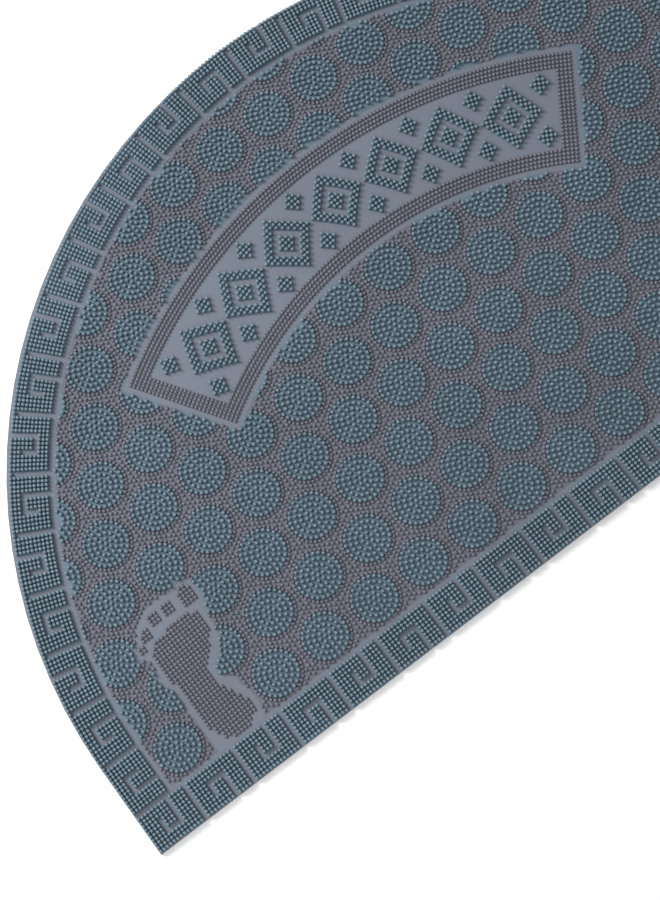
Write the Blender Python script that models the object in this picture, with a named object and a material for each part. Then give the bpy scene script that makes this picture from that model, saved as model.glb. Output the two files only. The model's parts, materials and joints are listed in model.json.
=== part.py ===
"""Half-round pin doormat, moulded in one piece of rubber.

Run with: blender --background --python part.py

Metres. X runs along the straight edge, Y from the straight edge to the crown, Z up. The origin is
on the floor under the middle of the mat. The mat is a thin sheet with beds of moulded pins on it:
tall pins in the key border, the discs and the banner's motifs, and short pins between the discs, in
the banner's frame and in the footprints. Bare strips at the sheet's own level part them. Here each
bed is one raised shape, as high as its pins.
"""

import math

import bpy
import bmesh
import numpy as np
from mathutils import Vector
from mathutils.geometry import delaunay_2d_cdt

# Outline
WIDTH = 0.750
DEPTH = 0.450
RADIUS = WIDTH / 2
SIDE = DEPTH - RADIUS
ARC_STEPS = 48

# Levels above the floor
FLOOR = 0.0
SHEET_TOP = 0.0022
SHORT_TOP = 0.0040
TALL_TOP = 0.0060
SNAP = 0.00002  # outlines that pass this near to each other meet
SAME_PLANE = math.radians(0.5)
PAST = 0.001  # how far a groove that opens to the outside runs past the edge

# Key border, counted in pin columns along the edge and pin rows in from it
PITCH = WIDTH / 251
ROWS = 10
BLOCK = 14  # columns from one separator to the next
BORDER = ROWS * PITCH
STRIP = 0.0034  # bare strip inside the border
RIM = 0.0024  # widest part of the bare lip outside the curved border
STRAIGHT_BLOCKS = range(-9, 9)
CURVED_BLOCKS = 28
FIRST_SEPARATOR = 0.0717  # from the corner up the side
CROWN_SEPARATOR = 0.0046  # past the middle of the arc
HOOK = ((4.5, 3), (9.5, 3), (9.5, 10.5), (8.5, 10.5), (8.5, 4), (5.5, 4), (5.5, 7), (4.5, 7))

# Disc field
FIELD_INSET = BORDER + STRIP
DISC_SPACING = 0.0430
DISC_RADIUS = 0.0174
DISC_SIDES = 12
FIRST_DISC_ROW = 0.0523
DISC_ROWS = 11
DISC_REACH = 0.014  # a disc whose middle lies further out than this hardly shows and is left out

# Banner: a band bent round a centre below the straight edge
BANNER_CENTRE = -0.022
BANNER_OUTER = 0.367
BANNER_INNER = 0.282
BANNER_HALF_ANGLE = math.radians(33.1)
BANNER_STEPS = 24
FRAME = 0.0118
BANNER_GAP = 0.0038  # bare strip round the frame

# Motifs on the banner, in pin rows across it and pin columns along it: hollow diamonds with a small
# one inside, and small ones in the gaps between
MOTIF_ROW = 0.00332
MOTIF_COLUMN = 0.0030
DIAMONDS = 7
DIAMOND_STEP = math.radians(8.3)
DIAMOND_REACH = 7.5  # pins from the middle to the tip
HOLE_REACH = 4.5
CORE_REACH = 2.5
GAP_OFFSET = 6 * MOTIF_ROW

# Footprints, on their own pin grid: rows up from the heel and columns from the foot's axis
FOOT_X = 0.2816
FOOT_Y = 0.0339
FOOT_LEAN = 0.011  # towards the middle of the mat, over the height
FOOT_SIDE = 0.45  # columns that a bed runs past its last column's middle: under half, so toes stay apart
FOOT_BEDS = (  # (first row, last row, first column, last column), the sole before the toes
    (0, 0, -1, 3),
    (1, 1, -3, 4),
    (2, 2, -3, 6),
    (3, 4, -4, 6),
    (5, 5, -5, 6),
    (6, 7, -5, 5),
    (8, 9, -5, 4),
    (10, 11, -5, 3),
    (12, 17, -5, 2),
    (18, 18, -5, 3),
    (19, 19, -6, 4),
    (20, 20, -6, 5),
    (21, 22, -6, 6),
    (23, 23, -6, 7),
    (24, 27, -6, 8),
    (28, 28, -5, 8),
    (29, 29, -4, 8),
    (30, 30, 0, 6),
    (32, 35, 7, 10),
    (36, 36, 8, 9),
    (33, 35, 2, 4),
    (33, 35, -2, 0),
    (31, 32, -6, -4),
    (33, 33, -5, -4),
    (29, 30, -8, -7),
)
FOOT_CLEARING = (  # (x, height): the bare ground round a footprint
    (-0.0199, -0.0008),
    (-0.0199, 0.031),
    (-0.0220, 0.034),
    (-0.0213, 0.053),
    (-0.0266, 0.064),
    (-0.0222, 0.072),
    (-0.0222, 0.080),
    (-0.0280, 0.084),
    (-0.0280, 0.095),
    (-0.0228, 0.098),
    (-0.0185, 0.104),
    (-0.0075, 0.112),
    (0.0280, 0.1145),
    (0.0340, 0.110),
    (0.0340, 0.095),
    (0.0297, 0.084),
    (0.0283, 0.066),
    (0.0204, 0.056),
    (0.0122, 0.049),
    (0.0115, 0.043),
    (0.0204, 0.035),
    (0.0204, 0.027),
    (0.0235, 0.023),
    (0.0235, 0.003),
    (0.0205, -0.0008),
)

RUBBER = (0.085, 0.110, 0.145, 1.0)


def clear_scene():
    for obj in list(bpy.data.objects):
        bpy.data.objects.remove(obj)


def rubber_material():
    """Matt moulded rubber, slate blue."""
    material = bpy.data.materials.new("moulded_rubber")
    material.use_nodes = True
    shader = material.node_tree.nodes["Principled BSDF"]
    shader.inputs["Base Color"].default_value = RUBBER
    shader.inputs["Roughness"].default_value = 0.55
    shader.inputs["Metallic"].default_value = 0.0
    return material


def new_collection(name):
    collection = bpy.data.collections.new(name)
    bpy.context.scene.collection.children.link(collection)
    return collection


def on_mat(x, from_edge):
    """A place given by its distance in from the straight edge."""
    return (x, from_edge - DEPTH / 2)


def lip(angle):
    """Width of the bare lip at an angle round the arc, counted from the left side."""
    return RIM * abs(math.sin(2 * angle))


def half_round(inset, follow_lip=True):
    """The mat's outline moved in by inset, counter-clockwise from the left corner."""
    points = [on_mat(inset - RADIUS, inset), on_mat(RADIUS - inset, inset)]
    for step in range(ARC_STEPS + 1):
        angle = math.pi * (1 - step / ARC_STEPS)
        reach = RADIUS - inset - (lip(angle) if follow_lip else 0)
        points.append(on_mat(-reach * math.cos(angle), SIDE + reach * math.sin(angle)))
    return points


def straight_place(column, row):
    """A point of the straight border: columns from the middle of the mat, rows in from the edge."""
    return on_mat(column * PITCH, row * PITCH)


def along_curve(column):
    """Distance round the outline from the left corner to a column of the curved border."""
    whole = 2 * SIDE + math.pi * RADIUS
    start = BORDER + STRIP / 2
    stops = (start, FIRST_SEPARATOR, whole / 2 + CROWN_SEPARATOR, whole - FIRST_SEPARATOR, whole - start)
    blocks = (0, 1, CURVED_BLOCKS / 2, CURVED_BLOCKS - 1, CURVED_BLOCKS)
    return float(np.interp(column / BLOCK, blocks, stops))


def curved_place(column, row):
    """A point of the curved border: columns clockwise from the left strip, rows in from the lip."""
    along = along_curve(column)
    angle = (along - SIDE) / RADIUS
    if angle <= 0:
        return on_mat(row * PITCH - RADIUS, along)
    if angle >= math.pi:
        return on_mat(RADIUS - row * PITCH, 2 * SIDE + math.pi * RADIUS - along)
    reach = RADIUS - lip(angle) - row * PITCH
    return on_mat(-reach * math.cos(angle), SIDE + reach * math.sin(angle))


def hook(place, first_column, from_inside, mirrored=False):
    """The hooked groove of one key block. It opens to the inner strip, or else to the outer edge."""
    points = []
    for column, row in HOOK:
        across = BLOCK - column if mirrored else column
        points.append(place(first_column + across, row if from_inside else ROWS - row))
    return points


def bar(place, column, first_row, last_row):
    """A groove one column wide."""
    return [
        place(column - 0.5, first_row),
        place(column + 0.5, first_row),
        place(column + 0.5, last_row),
        place(column - 0.5, last_row),
    ]


def key_grooves():
    grooves = []
    for block in STRAIGHT_BLOCKS:
        grooves.append(hook(straight_place, block * BLOCK, from_inside=block % 2 == 1))
        if block > STRAIGHT_BLOCKS[0]:
            grooves.append(bar(straight_place, block * BLOCK, -0.5, ROWS + 0.5))
    for block in range(CURVED_BLOCKS):
        from_inside = block % 2 == 1 or block == 0
        grooves.append(hook(curved_place, block * BLOCK, from_inside, mirrored=block == 0))
        if block > 0:
            grooves.append(bar(curved_place, block * BLOCK, 1, ROWS + 0.5))
    return grooves


def end_strips():
    """The bare strips that part the straight border from the two ends of the curved one."""
    strips = []
    for side in (-1, 1):
        outside = side * (RADIUS + PAST)
        inside = side * (RADIUS - BORDER - PAST)
        strips.append(
            [
                on_mat(outside, BORDER),
                on_mat(inside, BORDER),
                on_mat(inside, FIELD_INSET),
                on_mat(outside, FIELD_INSET),
            ]
        )
    return strips


def banner_place(angle, reach):
    """A point by its angle from the middle and its distance from the banner's centre."""
    return on_mat(reach * math.sin(angle), BANNER_CENTRE + reach * math.cos(angle))


def banner_band(margin):
    """The banner's outline, moved out by margin."""
    points = []
    for reach, turn in ((BANNER_INNER - margin, 1), (BANNER_OUTER + margin, -1)):
        half = BANNER_HALF_ANGLE + margin / reach
        for step in range(BANNER_STEPS + 1):
            points.append(banner_place(turn * half * (2 * step / BANNER_STEPS - 1), reach))
    return points


def diamond(angle, offset, pins):
    """A diamond so many pins from middle to tip, at an angle and offset out from the middle line."""
    middle = (BANNER_INNER + BANNER_OUTER) / 2 + offset
    tall = pins * MOTIF_ROW
    wide = pins * MOTIF_COLUMN
    return [
        banner_place(angle, middle - tall),
        banner_place(angle + wide / middle, middle),
        banner_place(angle, middle + tall),
        banner_place(angle - wide / middle, middle),
    ]


def banner_motifs():
    """The diamonds of tall pins on the banner's plate, as regions."""
    painted = []
    for index in range(DIAMONDS):
        angle = (index - (DIAMONDS - 1) / 2) * DIAMOND_STEP
        painted.append((diamond(angle, 0, DIAMOND_REACH), TALL_TOP, None))
        painted.append((diamond(angle, 0, HOLE_REACH), SHEET_TOP, None))
        painted.append((diamond(angle, 0, CORE_REACH), TALL_TOP, None))
    for index in range(DIAMONDS + 1):
        angle = (index - DIAMONDS / 2) * DIAMOND_STEP
        for offset in (-GAP_OFFSET, GAP_OFFSET):
            painted.append((diamond(angle, offset, CORE_REACH), TALL_TOP, None))
    return painted


def foot_place(side, x, height):
    """A point of a footprint. Side is -1 for the left one. The big toes are nearest the middle."""
    return on_mat(side * (FOOT_X - x - FOOT_LEAN * height), FOOT_Y + height)


def foot_bed(side, first_row, last_row, first_column, last_column):
    left = (first_column - FOOT_SIDE) * PITCH
    right = (last_column + FOOT_SIDE) * PITCH
    low = first_row * PITCH
    high = (last_row + 1) * PITCH
    corners = ((left, low), (right, low), (right, high), (left, high))
    return [foot_place(side, x, height) for x, height in corners]


def lip_depth(x, from_edge):
    """How far a point lies inside the mat's outline and its lip."""
    if from_edge < SIDE:
        return RADIUS - abs(x)
    return RADIUS - math.hypot(x, from_edge - SIDE) - lip(math.atan2(from_edge - SIDE, -x))


def banner_depth(x, from_edge):
    """How far a point lies inside the banner and its bare strip."""
    up = from_edge - BANNER_CENTRE
    reach = math.hypot(x, up)
    past_end = (abs(math.atan2(x, up)) - BANNER_HALF_ANGLE) * reach
    return BANNER_GAP - max(reach - BANNER_OUTER, BANNER_INNER - reach, past_end)


def disc_places():
    places = []
    for row in range(DISC_ROWS):
        from_edge = FIRST_DISC_ROW + row * DISC_SPACING * math.sqrt(3) / 2
        for step in range(-9, 10):
            x = (step + (0.5 if row % 2 == 0 else 0)) * DISC_SPACING
            if lip_depth(x, from_edge) < FIELD_INSET - DISC_REACH:
                continue
            if banner_depth(x, from_edge) > DISC_REACH:
                continue
            places.append((x, from_edge))
    return places


def disc_outline(x, from_edge):
    turn = 2 * math.pi / DISC_SIDES
    return [
        on_mat(
            x + DISC_RADIUS * math.cos((k + 0.5) * turn),
            from_edge + DISC_RADIUS * math.sin((k + 0.5) * turn),
        )
        for k in range(DISC_SIDES)
    ]


def regions():
    """The mat from above as outlines and their levels. Each is painted over those before it.

    An outline with a third value is painted only where the level so far is that value.
    """
    painted = [
        (half_round(0, follow_lip=False), SHEET_TOP, None),
        (half_round(0), TALL_TOP, None),
        (half_round(BORDER), SHEET_TOP, None),
        (half_round(FIELD_INSET), SHORT_TOP, None),
    ]
    painted += [(outline, SHEET_TOP, TALL_TOP) for outline in key_grooves() + end_strips()]
    painted += [(disc_outline(x, from_edge), TALL_TOP, SHORT_TOP) for x, from_edge in disc_places()]
    painted.append((banner_band(BANNER_GAP), SHEET_TOP, None))
    painted.append((banner_band(0), SHORT_TOP, None))
    painted.append((banner_band(-FRAME), SHEET_TOP, None))
    painted += banner_motifs()
    for side in (-1, 1):
        clearing = [foot_place(side, x, height) for x, height in FOOT_CLEARING]
        painted.append((clearing, SHEET_TOP, None))
        painted += [(foot_bed(side, *bed), SHORT_TOP, None) for bed in FOOT_BEDS]
    return painted


def paint(painted, covering):
    """The level where the outlines with these numbers lie over one another."""
    level = FLOOR
    for number in sorted(covering):
        _, paint_level, only_over = painted[number]
        if only_over is None or only_over == level:
            level = paint_level
    return level


def counter_clockwise(outline):
    signed = sum(x0 * y1 - x1 * y0 for (x0, y0), (x1, y1) in zip(outline, outline[1:] + outline[:1]))
    return outline if signed > 0 else outline[::-1]


def floor_plan(painted):
    """One flat sheet of triangles with every outline in it as edges.

    Its layer goes_to holds each face's level.
    """
    points = []
    outlines = []
    for outline, _, _ in painted:
        outlines.append(list(range(len(points), len(points) + len(outline))))
        points += [Vector(point) for point in counter_clockwise(outline)]
    inside_only = 1
    places, _, triangles, _, _, covering = delaunay_2d_cdt(points, [], outlines, inside_only, SNAP)
    plan = bmesh.new()
    goes_to = plan.faces.layers.float.new("goes_to")
    corners = [plan.verts.new((place.x, place.y, FLOOR)) for place in places]
    for triangle, numbers in zip(triangles, covering):
        level = paint(painted, numbers)
        if level > FLOOR:
            plan.faces.new([corners[corner] for corner in triangle])[goes_to] = level
    bmesh.ops.delete(plan, geom=[vert for vert in plan.verts if not vert.link_faces], context="VERTS")
    return plan, goes_to


def raise_ground(shape, faces, rise):
    """Extrudes faces straight up and returns them where they end."""
    edges = {edge for face in faces for edge in face.edges}
    raised = bmesh.ops.extrude_face_region(shape, geom=[*faces, *edges])["geom"]
    lifted = [item for item in raised if isinstance(item, bmesh.types.BMVert)]
    bmesh.ops.translate(shape, verts=lifted, vec=(0, 0, rise))
    return [item for item in raised if isinstance(item, bmesh.types.BMFace)]


def relief(name, painted, collection):
    """One closed solid: the floor plan raised in steps, each step only where the ground goes on up."""
    shape, goes_to = floor_plan(painted)
    ground = list(shape.faces)
    reached = FLOOR
    for level in (SHEET_TOP, SHORT_TOP, TALL_TOP):
        ground = raise_ground(shape, ground, level - reached)
        ground = [face for face in ground if face[goes_to] > level + SNAP]
        reached = level
    bmesh.ops.dissolve_limit(shape, angle_limit=SAME_PLANE, verts=shape.verts, edges=shape.edges)
    bmesh.ops.triangulate(shape, faces=shape.faces, ngon_method="BEAUTY")
    mesh = bpy.data.meshes.new(name)
    shape.to_mesh(mesh)
    shape.free()
    solid = bpy.data.objects.new(name, mesh)
    collection.objects.link(solid)
    return solid


def make_mat():
    mat = relief("mat", regions(), new_collection("half_round_doormat"))
    mat.data.materials.append(rubber_material())
    return mat


clear_scene()
make_mat()
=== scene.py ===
"""The looks of a half-round rubber doormat, laid out as a Blender add-on and run as a script.

Metres. X runs along the straight edge, Y from the straight edge to the crown, Z up. The mat is one
moulding: a thin sheet with beds of pins. Every pin is real geometry, placed by the bed's own rule and
planted by Geometry Nodes.
"""

import json
import math

import bpy
from bpy.props import FloatProperty, FloatVectorProperty, IntProperty, PointerProperty
from bpy.types import Operator, Panel, PropertyGroup
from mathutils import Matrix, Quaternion, Vector

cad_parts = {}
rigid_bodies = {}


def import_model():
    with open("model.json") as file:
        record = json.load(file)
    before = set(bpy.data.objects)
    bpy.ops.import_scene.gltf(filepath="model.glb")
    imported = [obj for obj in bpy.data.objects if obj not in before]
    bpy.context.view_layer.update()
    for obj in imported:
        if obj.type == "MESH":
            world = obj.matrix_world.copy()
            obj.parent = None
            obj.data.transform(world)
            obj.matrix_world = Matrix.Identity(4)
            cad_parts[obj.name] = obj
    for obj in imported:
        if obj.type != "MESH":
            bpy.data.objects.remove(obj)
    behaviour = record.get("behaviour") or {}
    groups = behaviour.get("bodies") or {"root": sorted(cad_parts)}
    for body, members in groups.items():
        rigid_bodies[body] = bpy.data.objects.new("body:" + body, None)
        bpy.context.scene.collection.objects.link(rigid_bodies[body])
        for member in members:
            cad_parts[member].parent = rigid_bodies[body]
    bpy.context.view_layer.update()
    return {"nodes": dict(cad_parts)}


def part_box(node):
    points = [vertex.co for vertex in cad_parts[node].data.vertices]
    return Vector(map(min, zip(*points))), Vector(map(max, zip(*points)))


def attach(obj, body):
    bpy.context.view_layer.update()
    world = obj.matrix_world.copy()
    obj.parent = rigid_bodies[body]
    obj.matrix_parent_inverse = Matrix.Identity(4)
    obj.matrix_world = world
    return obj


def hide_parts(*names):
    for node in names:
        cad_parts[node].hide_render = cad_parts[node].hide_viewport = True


bl_info = {
    "name": "Half Round Pin Doormat",
    "version": (1, 0, 0),
    "blender": (4, 5, 0),
    "location": "3D View > Sidebar > Doormat",
    "description": "Builds a moulded rubber doormat with a key border, pin discs, a banner and footprints",
    "category": "Add Mesh",
}

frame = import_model()
NODE = "mat"
BODY = "root"
LOW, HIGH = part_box(NODE)

# The mat, read from the CAD node
WIDTH = HIGH[0] - LOW[0]
DEPTH = HIGH[1] - LOW[1]
TALL_TOP = HIGH[2]
RADIUS = WIDTH / 2
SIDE = DEPTH - RADIUS
MM = 0.001
TOUCH = 0.01 * MM

# Key border, in pin columns along the edge and pin rows in from it
STRAIGHT_COLUMNS = 251
PITCH = WIDTH / STRAIGHT_COLUMNS
CURVED_ROW = 2.95 * MM
ROWS = 10
BLOCK = 14
GROOVE_ROW = 4
LONG_ARM = 9
SHORT_ARM = 5
SHORT_ARM_END = 7
BORDER = ROWS * PITCH
STRIP = 3.4 * MM
RIM = 2.4 * MM
CURVED_BLOCKS = 28
FIRST_SEPARATOR = 71.7 * MM
CROWN_SEPARATOR = 4.6 * MM

# Disc field
FIELD_INSET = BORDER + STRIP
DISC_SPACING = 43.0 * MM
DISC_ROW = DISC_SPACING * math.sqrt(3) / 2
FIRST_DISC_ROW = 52.3 * MM
DISC_ROWS = 11
DISC_RINGS = (  # (pins, radius in mm, angle of the first pin in degrees)
    (1, 0.0, 0.0),
    (6, 4.0, 0.0),
    (13, 8.0, 3.5),
    (19, 12.05, -5.0),
    (26, 16.1, -2.0),
)
HALO = (38, 18.7, 4.74)  # the ring of short pins, in the same columns
HALO_CLEAR = 20.5 * MM
LATTICE_X = DISC_SPACING / 14
LATTICE_Y = DISC_ROW / 10.5
DISC_REACH = 19 * MM
SPLIT_ROW = 4
FIELD_CLEAR = 0.7 * MM

# Banner: a band bent round a centre below the straight edge
BANNER_CENTRE = -22 * MM
BANNER_OUTER = 367 * MM
BANNER_INNER = 282 * MM
BANNER_MIDDLE = (BANNER_OUTER + BANNER_INNER) / 2
BANNER_HALF_ANGLE = math.radians(33.1)
BANNER_GAP = 3.8 * MM
FRAME_ROWS = 4
FRAME_ROW = 3.05 * MM
OUTER_PITCH = 2.9 * MM
INNER_PITCH = 3.0 * MM
MOTIF_ROW = 3.32 * MM
MOTIF_COLUMN = 3.0 * MM
DIAMONDS = 7
DIAMOND_STEP = math.radians(8.3)
DIAMOND_SHELLS = (5, 7)
CORE_SHELLS = (0, 2)
GAP_OFFSET = 6 * MOTIF_ROW

# Footprints, on their own pin grid: rows up from the heel and columns from the foot's axis
FOOT_X = 281.6 * MM
FOOT_Y = 33.9 * MM
FOOT_LEAN = 0.011
FOOT_BEDS = (  # (first row, last row, first column, last column), the sole before the toes
    (0, 0, -1, 3),
    (1, 1, -3, 4),
    (2, 2, -3, 6),
    (3, 4, -4, 6),
    (5, 5, -5, 6),
    (6, 7, -5, 5),
    (8, 9, -5, 4),
    (10, 11, -5, 3),
    (12, 17, -5, 2),
    (18, 18, -5, 3),
    (19, 19, -6, 4),
    (20, 20, -6, 5),
    (21, 22, -6, 6),
    (23, 23, -6, 7),
    (24, 27, -6, 8),
    (28, 28, -5, 8),
    (29, 29, -4, 8),
    (30, 30, 0, 6),
    (32, 35, 7, 10),
    (36, 36, 8, 9),
    (33, 35, 2, 4),
    (33, 35, -2, 0),
    (31, 32, -6, -4),
    (33, 33, -5, -4),
    (29, 30, -8, -7),
)
FOOT_CLEARING = (  # (x, height) in mm: the bare ground round a footprint
    (-19.9, -0.8),
    (-19.9, 31.0),
    (-22.0, 34.0),
    (-21.3, 53.0),
    (-26.6, 64.0),
    (-22.2, 72.0),
    (-22.2, 80.0),
    (-28.0, 84.0),
    (-28.0, 95.0),
    (-22.8, 98.0),
    (-18.5, 104.0),
    (-7.5, 112.0),
    (28.0, 114.5),
    (34.0, 110.0),
    (34.0, 95.0),
    (29.7, 84.0),
    (28.3, 66.0),
    (20.4, 56.0),
    (12.2, 49.0),
    (11.5, 43.0),
    (20.4, 35.0),
    (20.4, 27.0),
    (23.5, 23.0),
    (23.5, 3.0),
    (20.5, -0.8),
)

# Pins, in sides round each
TALL_SIDES = 8
SHORT_SIDES = 6

# Floor and lights: the window stands behind the mat's left end, the fill in front of it
FLOOR_SIZE = 12
WINDOW_PLACE = (-0.9, 1.2, 1.35)
WINDOW_SIZE = 0.9
WINDOW_WATTS = 36
FILL_PLACE = (-0.9, -0.5, 1.6)
FILL_SIZE = 1.6
FILL_WATTS = 16
ROOM_STRENGTH = 0.42

# Camera, from the photograph's own perspective
CAMERA_PLACE = Vector((-0.1251, -0.5266, 1.7568))
CAMERA_AIM = Vector((-0.1123, -0.0673, 0.0))
CAMERA_ROLL = math.radians(-35.7)
CAMERA_LENS = 102.5
SENSOR = 36.0


def linear(hex_colour):
    """An sRGB hex colour as linear RGB."""
    channels = [int(hex_colour[i : i + 2], 16) / 255 for i in (0, 2, 4)]
    return tuple(c / 12.92 if c <= 0.04045 else ((c + 0.055) / 1.055) ** 2.4 for c in channels)


def length(name, millimetres, description):
    """A length that the user can set."""
    return FloatProperty(
        name=name, description=description, default=millimetres * MM, min=0.0, unit="LENGTH", precision=5
    )


def colour(name, hex_colour, description):
    """A colour that the user can set, as it looks under white light."""
    return FloatVectorProperty(
        name=name, description=description, default=linear(hex_colour), size=3, subtype="COLOR"
    )


class DoormatSizes(PropertyGroup):
    """Sizes of the sheet and its pins"""

    sheet: length("Sheet", 2.2, "Thickness of the sheet")
    short_top: length("Short pins", 4.0, "Height of the short pins' tips above the floor")
    tall_root: length("Tall root", 2.8, "Diameter of a tall pin at its root")
    tall_tip: length("Tall tip", 2.3, "Diameter of a tall pin at its tip")
    short_root: length("Short root", 2.7, "Diameter of a short pin at its root")
    short_tip: length("Short tip", 2.4, "Diameter of a short pin at its tip")
    tip_round: length("Tip rounding", 0.4, "Bevel round a pin's tip")
    pad: length("Pad", 0.2, "Height of the pad under tall pins")
    sunk: length("Sunk", 0.2, "How far a pin's root stands in the sheet")
    lean: FloatProperty(
        name="Lean", description="How far a pin may lean", default=math.radians(2.0), subtype="ANGLE"
    )
    seed: IntProperty(name="Seed", description="Seed of the pins' small differences", default=3, min=0)


class DoormatColours(PropertyGroup):
    """Colours of the rubber and the floor"""

    sheet: colour("Sheet", "646B78", "Smooth rubber, dusted lilac grey")
    tall: colour("Tall pins", "6A7E8B", "Tall pins, a cool slate")
    # The two ground colours are darker than the bare sheet: painted shade between the pins.
    tall_ground_painted_shade: colour("Tall ground", "566B7A", "Ground between tall pins")
    short: colour("Short pins", "666975", "Short pins, a warmer grey")
    short_ground_painted_shade: colour("Short ground", "5B5D69", "Ground between short pins")
    floor: colour("Floor", "F4F4F4", "Pale floor")


def deselect_all():
    if bpy.context.mode != "OBJECT":
        bpy.ops.object.mode_set(mode="OBJECT")
    bpy.ops.object.select_all(action="DESELECT")


def named(name):
    """Takes the active object, names it and its mesh, and puts its place into the mesh."""
    obj = bpy.context.view_layer.objects.active
    obj.name = name
    obj.data.name = name
    bpy.ops.object.transform_apply(location=True, rotation=True, scale=True)
    return obj


def select_in_edit(obj, kind, wanted):
    """Selects the vertices, edges or faces of the mesh in edit mode for which wanted is true."""
    bpy.ops.mesh.select_mode(type=kind)
    bpy.ops.mesh.select_all(action="DESELECT")
    bpy.ops.object.mode_set(mode="OBJECT")
    mesh = obj.data
    items = {"VERT": mesh.vertices, "EDGE": mesh.edges, "FACE": mesh.polygons}[kind]
    for item in items:
        item.select = wanted(item)
    bpy.ops.object.mode_set(mode="EDIT")


def add_node(tree, kind, sockets=None, **settings):
    """Adds a node with its own settings. A socket is filled with a value, or linked to another node's."""
    node = tree.nodes.new(kind)
    for name, value in settings.items():
        setattr(node, name, value)
    for socket, value in (sockets or {}).items():
        if isinstance(value, bpy.types.NodeSocket):
            tree.links.new(value, node.inputs[socket])
        else:
            node.inputs[socket].default_value = value
    return node


def new_material(name):
    material = bpy.data.materials.new(name)
    material.use_nodes = True
    material.node_tree.nodes.clear()
    return material, material.node_tree


def rubber_colour(tree, place, base):
    """The moulded rubber's uneven colour: broad cloudy patches of dust and wear."""
    clouds = add_node(
        tree, "ShaderNodeTexNoise", {"Vector": place, "Scale": 11.0, "Detail": 4.0, "Roughness": 0.55}
    )
    cloudy = add_node(
        tree,
        "ShaderNodeMapRange",
        {"Value": clouds.outputs["Fac"], "From Min": 0.3, "From Max": 0.7, "To Min": 0.93, "To Max": 1.07},
    )
    return add_node(
        tree,
        "ShaderNodeVectorMath",
        {0: (*base,), "Scale": cloudy.outputs["Result"]},
        operation="SCALE",
    )


def smooth_rubber(name, base):
    """Moulded rubber sheet: matt with a fine mould grain. Between pins it is given a darker base colour,
    which is painted shade.
    """
    material, tree = new_material(name)
    place = add_node(tree, "ShaderNodeTexCoord").outputs["Object"]
    colour = rubber_colour(tree, place, base)
    grain = add_node(tree, "ShaderNodeTexNoise", {"Vector": place, "Scale": 900.0, "Detail": 3.0})
    bump = add_node(
        tree, "ShaderNodeBump", {"Height": grain.outputs["Fac"], "Strength": 0.25, "Distance": 0.0004}
    )
    shader = add_node(
        tree,
        "ShaderNodeBsdfPrincipled",
        {
            "Base Color": colour.outputs["Vector"],
            "Roughness": 0.62,
            "IOR": 1.52,
            "Normal": bump.outputs["Normal"],
        },
    )
    add_node(tree, "ShaderNodeOutputMaterial", {"Surface": shader.outputs["BSDF"]})
    return material


def pin_rubber(name, base, low, high):
    """Moulded rubber pins: darker towards their roots as painted shade, and lighter at the tips as painted
    light.
    """
    material, tree = new_material(name)
    place = add_node(tree, "ShaderNodeTexCoord").outputs["Object"]
    height = add_node(tree, "ShaderNodeSeparateXYZ", {"Vector": place}).outputs["Z"]
    # Painted shade and painted light: the colour runs from 0.88 at the roots to 1.03 at the tips.
    painted_light_by_height = add_node(
        tree,
        "ShaderNodeMapRange",
        {"Value": height, "From Min": low, "From Max": high, "To Min": 0.88, "To Max": 1.03},
    )
    tone = add_node(tree, "ShaderNodeAttribute", attribute_name="tone", attribute_type="GEOMETRY")
    both = add_node(
        tree, "ShaderNodeMath", {0: painted_light_by_height.outputs["Result"], 1: tone.outputs["Fac"]}, operation="MULTIPLY"
    )
    uneven = rubber_colour(tree, place, base)
    colour = add_node(
        tree,
        "ShaderNodeVectorMath",
        {0: uneven.outputs["Vector"], "Scale": both.outputs["Value"]},
        operation="SCALE",
    )
    shader = add_node(
        tree,
        "ShaderNodeBsdfPrincipled",
        {"Base Color": colour.outputs["Vector"], "Roughness": 0.8, "IOR": 1.52},
    )
    add_node(tree, "ShaderNodeOutputMaterial", {"Surface": shader.outputs["BSDF"]})
    return material


def floor_paint():
    """Matt white painted board: no gloss, so the floor stays an even pale ground."""
    material, tree = new_material("matt_white_board")
    place = add_node(tree, "ShaderNodeTexCoord").outputs["Object"]
    speck = add_node(tree, "ShaderNodeTexNoise", {"Vector": place, "Scale": 40.0, "Detail": 2.0})
    bump = add_node(
        tree, "ShaderNodeBump", {"Height": speck.outputs["Fac"], "Strength": 0.02, "Distance": 0.001}
    )
    shader = add_node(
        tree,
        "ShaderNodeBsdfPrincipled",
        {
            "Base Color": (*bpy.context.scene.doormat_colours.floor, 1.0),
            "Roughness": 0.9,
            "Normal": bump.outputs["Normal"],
        },
    )
    add_node(tree, "ShaderNodeOutputMaterial", {"Surface": shader.outputs["BSDF"]})
    return material


def on_mat(x, from_edge):
    """A place given by its distance in from the straight edge."""
    return (x, from_edge - DEPTH / 2)


def lip(angle):
    """Width of the bare lip at an angle round the arc, counted from the left side."""
    return RIM * abs(math.sin(2 * angle))


def lip_depth(x, from_edge):
    """How far a point lies inside the mat's outline and its lip."""
    if from_edge < SIDE:
        return RADIUS - abs(x)
    return RADIUS - math.hypot(x, from_edge - SIDE) - lip(math.atan2(from_edge - SIDE, -x))


def banner_depth(x, from_edge):
    """How far a point lies inside the banner and its bare strip."""
    up = from_edge - BANNER_CENTRE
    reach = math.hypot(x, up)
    past_end = (abs(math.atan2(x, up)) - BANNER_HALF_ANGLE) * reach
    return BANNER_GAP - max(reach - BANNER_OUTER, BANNER_INNER - reach, past_end)


def inside(outline, x, y):
    """Whether a point lies inside a closed outline."""
    crossings = 0
    for (x0, y0), (x1, y1) in zip(outline, outline[1:] + outline[:1]):
        if (y0 > y) != (y1 > y) and x < x0 + (y - y0) * (x1 - x0) / (y1 - y0):
            crossings += 1
    return crossings % 2 == 1


def in_foot_clearing(x, from_edge):
    outline = [(a * MM, b * MM) for a, b in FOOT_CLEARING]
    height = from_edge - FOOT_Y
    return inside(outline, FOOT_X - FOOT_LEAN * height - abs(x), height)


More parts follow.
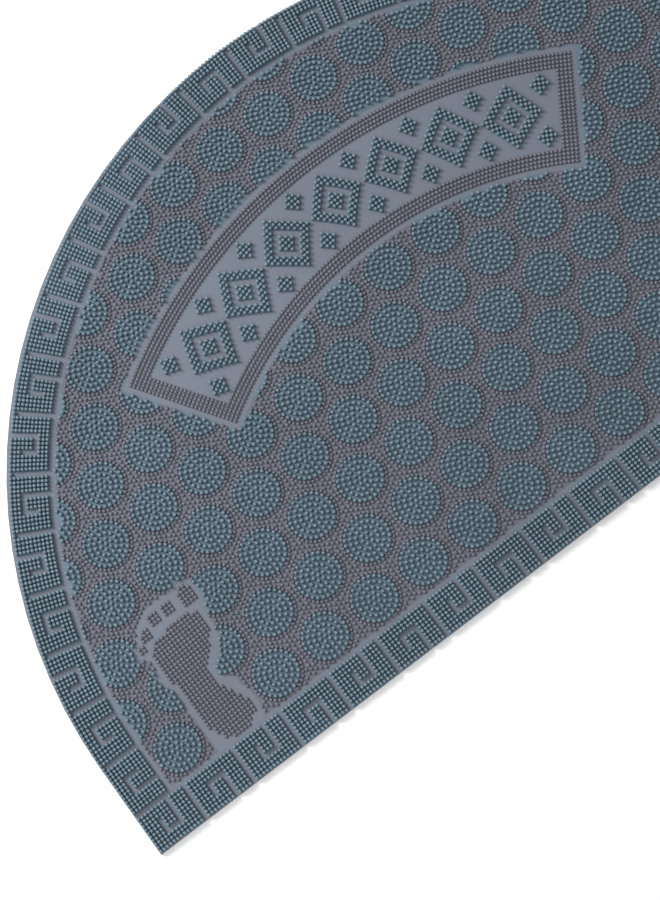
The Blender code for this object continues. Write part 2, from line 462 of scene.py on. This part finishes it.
def in_groove(column, row, from_inside, mirrored=False):
    """Whether a pin is left out for the hooked groove of its key block. Columns and rows count from 1."""
    across = BLOCK - column if mirrored else column
    down = row if from_inside else ROWS + 1 - row
    along = down == GROOVE_ROW and SHORT_ARM <= across <= LONG_ARM
    long_arm = across == LONG_ARM and down >= GROOVE_ROW
    short_arm = across == SHORT_ARM and GROOVE_ROW <= down <= SHORT_ARM_END
    return along or long_arm or short_arm


def straight_border_places():
    half = STRAIGHT_COLUMNS // 2
    places = []
    for column in range(-half, half + 1):
        block, step = divmod(column, BLOCK)
        for row in range(1, ROWS + 1):
            if step == 0 or in_groove(step, row, from_inside=block % 2 == 1):
                continue
            places.append(on_mat(column * PITCH, (row - 0.5) * PITCH))
    return places


def between(value, stops, results):
    """Reads a result off a bent line through the stops."""
    for low, high, start, end in zip(stops, stops[1:], results, results[1:]):
        if value <= high:
            return start + (end - start) * (value - low) / (high - low)
    return results[-1]


def along_curve(column):
    """Distance round the outline from the left corner to a column of the curved border."""
    whole = 2 * SIDE + math.pi * RADIUS
    start = BORDER + STRIP / 2
    blocks = (0, 1, CURVED_BLOCKS / 2, CURVED_BLOCKS - 1, CURVED_BLOCKS)
    stops = (start, FIRST_SEPARATOR, whole / 2 + CROWN_SEPARATOR, whole - FIRST_SEPARATOR, whole - start)
    return between(column / BLOCK, blocks, stops)


def curved_place(column, depth):
    """A place on the curved border: columns clockwise from the left strip, depth in from the lip."""
    along = along_curve(column)
    angle = (along - SIDE) / RADIUS
    if angle <= 0:
        return on_mat(depth - RADIUS, along)
    if angle >= math.pi:
        return on_mat(RADIUS - depth, 2 * SIDE + math.pi * RADIUS - along)
    reach = RADIUS - lip(angle) - depth
    return on_mat(-reach * math.cos(angle), SIDE + reach * math.sin(angle))


def curved_border_places():
    places = []
    for column in range(1, CURVED_BLOCKS * BLOCK):
        block, step = divmod(column, BLOCK)
        from_inside = block % 2 == 1 or block == 0
        for row in range(1, ROWS + 1):
            separator = step == 0 and row > 1
            groove = step > 0 and in_groove(step, row, from_inside, mirrored=block == 0)
            if separator or groove:
                continue
            places.append(curved_place(column, (row - 0.5) * CURVED_ROW))
    return places


def disc_centres():
    """Every disc, as (row, x, distance from the straight edge), with those that only touch the field."""
    centres = []
    for row in range(-1, DISC_ROWS + 1):
        from_edge = FIRST_DISC_ROW + row * DISC_ROW
        for step in range(-10, 11):
            x = (step + (0.5 if row % 2 == 0 else 0)) * DISC_SPACING
            if lip_depth(x, from_edge) > FIELD_INSET - DISC_REACH:
                centres.append((row, x, from_edge))
    return centres


def in_field(x, from_edge):
    """Whether a pin's place lies in the field, off the strips round the border, banner and footprints."""
    if min(from_edge, lip_depth(x, from_edge)) < FIELD_INSET + FIELD_CLEAR:
        return False
    if banner_depth(x, from_edge) > -FIELD_CLEAR:
        return False
    return not in_foot_clearing(x, from_edge)


def ring_places(centre, count, radius_mm, start_degrees):
    x, from_edge = centre
    places = []
    for step in range(count):
        angle = math.radians(start_degrees + 360 * step / count)
        places.append((x + radius_mm * MM * math.cos(angle), from_edge + radius_mm * MM * math.sin(angle)))
    return places


def disc_places(rows):
    """Tall pins of the discs in the given rows."""
    places = []
    for row, x, from_edge in disc_centres():
        if row not in rows:
            continue
        for ring in DISC_RINGS:
            places += [on_mat(*p) for p in ring_places((x, from_edge), *ring) if in_field(*p)]
    return places


def halo_places():
    """Short pins in one ring round each disc."""
    places = []
    for _, x, from_edge in disc_centres():
        places += [on_mat(*p) for p in ring_places((x, from_edge), *HALO) if in_field(*p)]
    return places


def lattice_places():
    """Short pins on an even lattice wherever no disc or ring is near."""
    centres = [(x, from_edge) for _, x, from_edge in disc_centres()]
    half = int(RADIUS / LATTICE_X)
    places = []
    for column in range(-half, half + 1):
        x = column * LATTICE_X
        near = [centre for centre in centres if abs(centre[0] - x) < HALO_CLEAR]
        for step in range(-6, int(DEPTH / LATTICE_Y)):
            from_edge = FIRST_DISC_ROW + (step + (0.5 if column % 2 == 0 else 0)) * LATTICE_Y
            if not in_field(x, from_edge):
                continue
            if all(math.hypot(x - a, from_edge - b) >= HALO_CLEAR for a, b in near):
                places.append(on_mat(x, from_edge))
    return places


def banner_place(angle, reach):
    """A place by its angle from the middle and its distance from the banner's centre."""
    return on_mat(reach * math.sin(angle), BANNER_CENTRE + reach * math.cos(angle))


def frame_places():
    """Short pins of the banner's frame: rows along both arcs, and columns across both ends."""
    places = []
    for first, turn, pitch in ((BANNER_OUTER, -1, OUTER_PITCH), (BANNER_INNER, 1, INNER_PITCH)):
        for row in range(FRAME_ROWS):
            reach = first + turn * (row + 0.5) * FRAME_ROW
            edge = BANNER_HALF_ANGLE - 0.5 * pitch / reach
            count = round(2 * edge * reach / pitch)
            places += [banner_place(edge * (2 * k / count - 1), reach) for k in range(count + 1)]
    low = BANNER_INNER + (FRAME_ROWS + 0.5) * FRAME_ROW
    high = BANNER_OUTER - (FRAME_ROWS + 0.5) * FRAME_ROW
    count = round((high - low) / PITCH)
    for side in (-1, 1):
        for column in range(FRAME_ROWS):
            for step in range(count + 1):
                reach = low + (high - low) * step / count
                angle = BANNER_HALF_ANGLE - (column + 0.5) * PITCH / reach
                places.append(banner_place(side * angle, reach))
    return places


def diamond_places(angle, offset, shells):
    """Tall pins in shells round a place on the banner's plate, which makes a diamond."""
    first, last = shells
    middle = BANNER_MIDDLE + offset
    places = []
    for row in range(-last, last + 1):
        for column in range(-last, last + 1):
            if first <= abs(row) + abs(column) <= last:
                reach = middle + row * MOTIF_ROW
                places.append(banner_place(angle + column * MOTIF_COLUMN / middle, reach))
    return places


def motif_places():
    places = []
    for index in range(DIAMONDS):
        angle = (index - (DIAMONDS - 1) / 2) * DIAMOND_STEP
        places += diamond_places(angle, 0, DIAMOND_SHELLS)
        places += diamond_places(angle, 0, CORE_SHELLS)
    for index in range(DIAMONDS + 1):
        angle = (index - DIAMONDS / 2) * DIAMOND_STEP
        for offset in (-GAP_OFFSET, GAP_OFFSET):
            places += diamond_places(angle, offset, CORE_SHELLS)
    return places


def foot_places():
    """Short pins of the two footprints, whose big toes point to the middle of the mat."""
    places = []
    for first_row, last_row, first_column, last_column in FOOT_BEDS:
        for row in range(first_row, last_row + 1):
            height = (row + 0.5) * PITCH
            for column in range(first_column, last_column + 1):
                x = FOOT_X - column * PITCH - FOOT_LEAN * height
                places += [on_mat(side * x, FOOT_Y + height) for side in (-1, 1)]
    return places


def model_pin(root, tip, height, sides):
    """One moulded pin: a slightly tapered cone with a rounded tip. It stands with its root in the sheet."""
    sizes = bpy.context.scene.doormat_sizes
    deselect_all()
    bpy.ops.mesh.primitive_cone_add(
        vertices=sides,
        radius1=root / 2,
        radius2=tip / 2,
        depth=height,
        end_fill_type="NGON",
        location=(0, 0, height / 2),
    )
    pin = named("pin")
    bpy.ops.object.mode_set(mode="EDIT")
    select_in_edit(pin, "FACE", lambda face: face.center.z > height - TOUCH)
    bpy.ops.mesh.bevel(offset=sizes.tip_round, segments=1, affect="EDGES")
    bpy.ops.object.mode_set(mode="OBJECT")
    bpy.ops.object.shade_smooth()
    return pin


def planting(pin):
    """Geometry Nodes that stand one pin on each point, each turned, leaned and toned a little differently."""
    sizes = bpy.context.scene.doormat_sizes
    tree = bpy.data.node_groups.new("plant_pins", "GeometryNodeTree")
    tree.interface.new_socket("Geometry", in_out="INPUT", socket_type="NodeSocketGeometry")
    tree.interface.new_socket("Geometry", in_out="OUTPUT", socket_type="NodeSocketGeometry")
    points = add_node(tree, "NodeGroupInput").outputs["Geometry"]
    model = add_node(tree, "GeometryNodeObjectInfo", {"Object": pin}).outputs["Geometry"]
    turn = add_node(
        tree,
        "FunctionNodeRandomValue",
        {0: (-sizes.lean, -sizes.lean, 0.0), 1: (sizes.lean, sizes.lean, math.tau), "Seed": sizes.seed},
        data_type="FLOAT_VECTOR",
    )
    stand = add_node(
        tree,
        "GeometryNodeInstanceOnPoints",
        {"Points": points, "Instance": model, "Rotation": turn.outputs[0]},
    )
    tone = add_node(
        tree, "FunctionNodeRandomValue", {2: 0.9, 3: 1.1, "Seed": sizes.seed + 1}, data_type="FLOAT"
    )
    toned = add_node(
        tree,
        "GeometryNodeStoreNamedAttribute",
        {"Geometry": stand.outputs["Instances"], "Name": "tone", "Value": tone.outputs[1]},
        data_type="FLOAT",
        domain="INSTANCE",
    )
    real = add_node(tree, "GeometryNodeRealizeInstances", {"Geometry": toned.outputs["Geometry"]})
    add_node(tree, "NodeGroupOutput", {"Geometry": real.outputs["Geometry"]})
    return tree


def plant(name, places, root_height, pin, material):
    """One piece: a copy of the pin on every place, joined in one mesh."""
    deselect_all()
    mesh = bpy.data.meshes.new(name)
    mesh.from_pydata([(x, y, root_height) for x, y in places], [], [])
    piece = bpy.data.objects.new(name, mesh)
    bpy.context.scene.collection.objects.link(piece)
    bpy.context.view_layer.objects.active = piece
    piece.select_set(True)
    modifier = piece.modifiers.new("plant_pins", "NODES")
    modifier.node_group = planting(pin)
    bpy.ops.object.modifier_apply(modifier=modifier.name)
    piece.data.materials.clear()
    piece.data.materials.append(material)
    dress(piece)
    return piece


def dress(piece):
    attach(piece, BODY)


def plant_beds(beds, root, tip, top, sides, material_name, colour):
    """Models one pin, plants it in each named bed, and takes the model away."""
    sizes = bpy.context.scene.doormat_sizes
    foot = sizes.sheet - sizes.sunk
    pin = model_pin(root, tip, top - foot, sides)
    material = pin_rubber(material_name, colour, sizes.sheet, top)
    for name, places in beds.items():
        plant(name, places, foot, pin, material)
    bpy.data.objects.remove(pin)


def add_light(place, size, watts):
    """A square soft light that faces the middle of the mat."""
    bpy.ops.object.light_add(type="AREA", location=place)
    light = bpy.context.object
    light.data.size = size
    light.data.energy = watts
    light.rotation_euler = (-light.location).to_track_quat("-Z", "Y").to_euler()


class DOORMAT_OT_sheet(Operator):
    """Add the thin sheet: the CAD solid with its pin beds pressed down to low pads that the pins stand on"""

    bl_idname = "doormat.sheet"
    bl_label = "Sheet"

    def execute(self, context):
        sizes = context.scene.doormat_sizes
        colours = context.scene.doormat_colours
        deselect_all()
        solid = frame["nodes"][NODE]
        solid.select_set(True)
        context.view_layer.objects.active = solid
        bpy.ops.object.duplicate()
        bpy.ops.object.parent_clear(type="CLEAR_KEEP_TRANSFORM")
        sheet = named("sheet")
        bpy.ops.object.mode_set(mode="EDIT")
        bpy.ops.mesh.select_all(action="SELECT")
        bpy.ops.mesh.remove_doubles(threshold=TOUCH)
        bpy.ops.object.mode_set(mode="OBJECT")
        sheet.data.materials.clear()
        sheet.data.materials.append(smooth_rubber("bare_moulded_rubber", colours.sheet))
        sheet.data.materials.append(smooth_rubber("rubber_between_tall_pins_painted_shade", colours.tall_ground_painted_shade))
        sheet.data.materials.append(smooth_rubber("rubber_between_short_pins_painted_shade", colours.short_ground_painted_shade))
        # Faces under the tall and short pin beds get the darker ground materials: painted shade between the
        # pins.
        bare, tall, short = range(3)
        for face in sheet.data.polygons:
            height = face.center.z if face.normal.z > 0.5 else 0
            over_short = height > (sizes.short_top + TALL_TOP) / 2
            over_sheet = height > (sizes.sheet + sizes.short_top) / 2
            face.material_index = tall if over_short else short if over_sheet else bare
        bpy.ops.object.mode_set(mode="EDIT")
        select_in_edit(sheet, "VERT", lambda vertex: vertex.co.z > sizes.sheet + TOUCH)
        press = sizes.pad / (TALL_TOP - sizes.sheet)
        bpy.ops.transform.resize(value=(1, 1, press), center_override=(0, 0, sizes.sheet))
        bpy.ops.object.mode_set(mode="OBJECT")
        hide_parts(NODE)
        dress(sheet)
        return {"FINISHED"}


class DOORMAT_OT_tall_pins(Operator):
    """Add the tall pins of the key border, the discs and the banner's diamonds"""

    bl_idname = "doormat.tall_pins"
    bl_label = "Tall pins"

    def execute(self, context):
        sizes = context.scene.doormat_sizes
        beds = {
            "straight_border_pins": straight_border_places(),
            "curved_border_pins": curved_border_places(),
            "near_disc_pins": disc_places(range(-1, SPLIT_ROW)),
            "far_disc_pins": disc_places(range(SPLIT_ROW, DISC_ROWS + 1)),
            "banner_diamond_pins": motif_places(),
        }
        plant_beds(
            beds,
            sizes.tall_root,
            sizes.tall_tip,
            TALL_TOP,
            TALL_SIDES,
            "tall_pin_rubber",
            context.scene.doormat_colours.tall,
        )
        return {"FINISHED"}


class DOORMAT_OT_short_pins(Operator):
    """Add the short pins between the discs, in the banner's frame and in the footprints"""

    bl_idname = "doormat.short_pins"
    bl_label = "Short pins"

    def execute(self, context):
        sizes = context.scene.doormat_sizes
        beds = {
            "disc_ring_pins": halo_places(),
            "field_pins": lattice_places(),
            "banner_frame_pins": frame_places(),
            "footprint_pins": foot_places(),
        }
        plant_beds(
            beds,
            sizes.short_root,
            sizes.short_tip,
            sizes.short_top,
            SHORT_SIDES,
            "short_pin_rubber",
            context.scene.doormat_colours.short,
        )
        return {"FINISHED"}


class DOORMAT_OT_stage(Operator):
    """Add the pale floor, the soft lights and the camera at the photograph's angle"""

    bl_idname = "doormat.stage"
    bl_label = "Floor, lights and camera"

    def execute(self, context):
        scene = context.scene
        deselect_all()
        bpy.ops.mesh.primitive_plane_add(size=FLOOR_SIZE, location=(0, 0, 0))
        floor = named("floor")
        floor.data.materials.append(floor_paint())

        add_light(WINDOW_PLACE, WINDOW_SIZE, WINDOW_WATTS)
        add_light(FILL_PLACE, FILL_SIZE, FILL_WATTS)

        scene.world = bpy.data.worlds.new("pale_room")
        scene.world.use_nodes = True
        room = scene.world.node_tree.nodes["Background"]
        room.inputs["Color"].default_value = (1.0, 1.0, 1.0, 1.0)
        room.inputs["Strength"].default_value = ROOM_STRENGTH
        scene.view_settings.view_transform = "Standard"

        bpy.ops.object.camera_add(location=CAMERA_PLACE)
        camera = context.object
        camera.data.lens = CAMERA_LENS
        camera.data.sensor_fit = "VERTICAL"
        camera.data.sensor_height = SENSOR
        aim = (CAMERA_AIM - CAMERA_PLACE).to_track_quat("-Z", "Y")
        roll = Quaternion((0, 0, 1), CAMERA_ROLL)
        camera.rotation_euler = (aim @ roll).to_euler()
        scene.camera = camera
        return {"FINISHED"}


class DOORMAT_PT_panel(Panel):
    """Lists the doormat's pieces, sizes and colours"""

    bl_idname = "DOORMAT_PT_panel"
    bl_label = "Doormat"
    bl_space_type = "VIEW_3D"
    bl_region_type = "UI"
    bl_category = "Doormat"

    def draw(self, context):
        layout = self.layout
        for operator in PIECES:
            layout.operator(operator.bl_idname)
        for group in (context.scene.doormat_sizes, context.scene.doormat_colours):
            box = layout.box()
            for name in group.__annotations__:
                box.prop(group, name)


PIECES = (DOORMAT_OT_stage, DOORMAT_OT_sheet, DOORMAT_OT_tall_pins, DOORMAT_OT_short_pins)
CLASSES = (DoormatSizes, DoormatColours, *PIECES, DOORMAT_PT_panel)


def register():
    for cls in CLASSES:
        bpy.utils.register_class(cls)
    bpy.types.Scene.doormat_sizes = PointerProperty(type=DoormatSizes)
    bpy.types.Scene.doormat_colours = PointerProperty(type=DoormatColours)


def unregister():
    del bpy.types.Scene.doormat_colours
    del bpy.types.Scene.doormat_sizes
    for cls in reversed(CLASSES):
        bpy.utils.unregister_class(cls)


def main():
    register()
    bpy.ops.doormat.stage()
    bpy.ops.doormat.sheet()
    bpy.ops.doormat.tall_pins()
    bpy.ops.doormat.short_pins()


if __name__ == "__main__":
    main()
